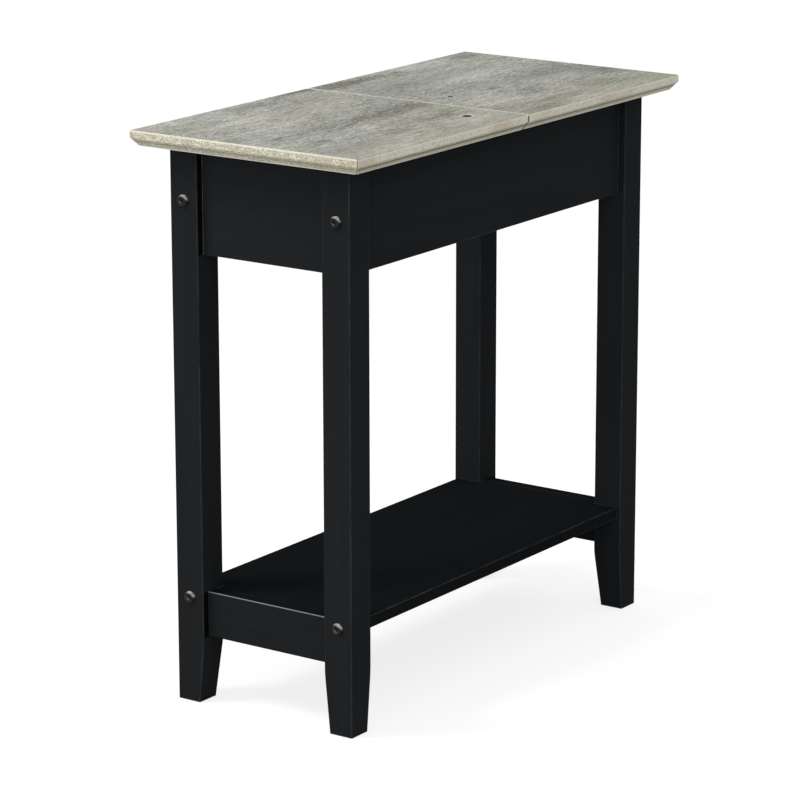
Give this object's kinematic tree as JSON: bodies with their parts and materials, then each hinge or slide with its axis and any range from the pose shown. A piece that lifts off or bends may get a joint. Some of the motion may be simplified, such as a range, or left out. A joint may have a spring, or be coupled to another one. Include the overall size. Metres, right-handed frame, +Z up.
{
  "type": "flip top end table",
  "caption": "Narrow chairside end table: square tapered legs, deep aprons, a lower shelf and a top whose front half is a hinged lid over a hidden storage box.",
  "frame": {"origin": "on the floor under the middle of the top", "axes": "+Z up; X along the top's long side, the lid covers the -X half; +Y along the short side"},
  "size_m": [0.6096, 0.2858, 0.6096],
  "materials": {
    "black_paint": "satin black paint",
    "black_panel": "matt black",
    "core_board": "raw board, painted black underneath",
    "grey_wood_laminate": "weathered grey wood grain, satin",
    "cream_edge_strip": "cream and beige speckled, satin",
    "zinc_steel": "zinc plated",
    "black_bolt": "black oxide, semi-gloss",
    "beech_dowel": "raw beech"
  },
  "bodies": {
    "frame": {"front_left_leg": "black_paint", "front_right_leg": "black_paint", "rear_left_leg": "black_paint", "rear_right_leg": "black_paint", "front_apron": "black_paint", "rear_apron": "black_paint", "left_apron": "black_paint", "right_apron": "black_paint", "front_lower_rail": "black_paint", "rear_lower_rail": "black_paint", "lower_shelf": "black_paint", "storage_floor": "black_panel", "storage_divider": "black_panel", "rear_top_board": "core_board", "rear_top_laminate": "grey_wood_laminate", "rear_top_end_strip": "cream_edge_strip", "rear_top_left_strip": "cream_edge_strip", "rear_top_right_strip": "cream_edge_strip", "left_hinge_fixed_leaf": "zinc_steel", "right_hinge_fixed_leaf": "zinc_steel", "left_hinge_pin": "zinc_steel", "right_hinge_pin": "zinc_steel", "hinge_fixed_screws": "zinc_steel", "apron_bolts": "black_bolt", "shelf_bolts": "black_bolt", "apron_barrel_nuts": "zinc_steel", "shelf_barrel_nuts": "zinc_steel", "top_brackets": "zinc_steel", "top_bracket_screws": "zinc_steel", "side_apron_dowels": "beech_dowel", "end_apron_dowels": "beech_dowel", "lower_rail_dowels": "beech_dowel"},
    "flip_top": {"flip_top_board": "core_board", "flip_top_laminate": "grey_wood_laminate", "flip_top_end_strip": "cream_edge_strip", "flip_top_left_strip": "cream_edge_strip", "flip_top_right_strip": "cream_edge_strip", "left_hinge_lid_leaf": "zinc_steel", "right_hinge_lid_leaf": "zinc_steel", "hinge_lid_screws": "zinc_steel"}
  },
  "joints": [
    {"name": "flip_top_hinge", "type": "hinge", "parent": "frame", "child": "flip_top", "pos_m": [0, 0, 0.6079], "axis": [0, 1, 0], "range_deg": [0, 105]}
  ]
}
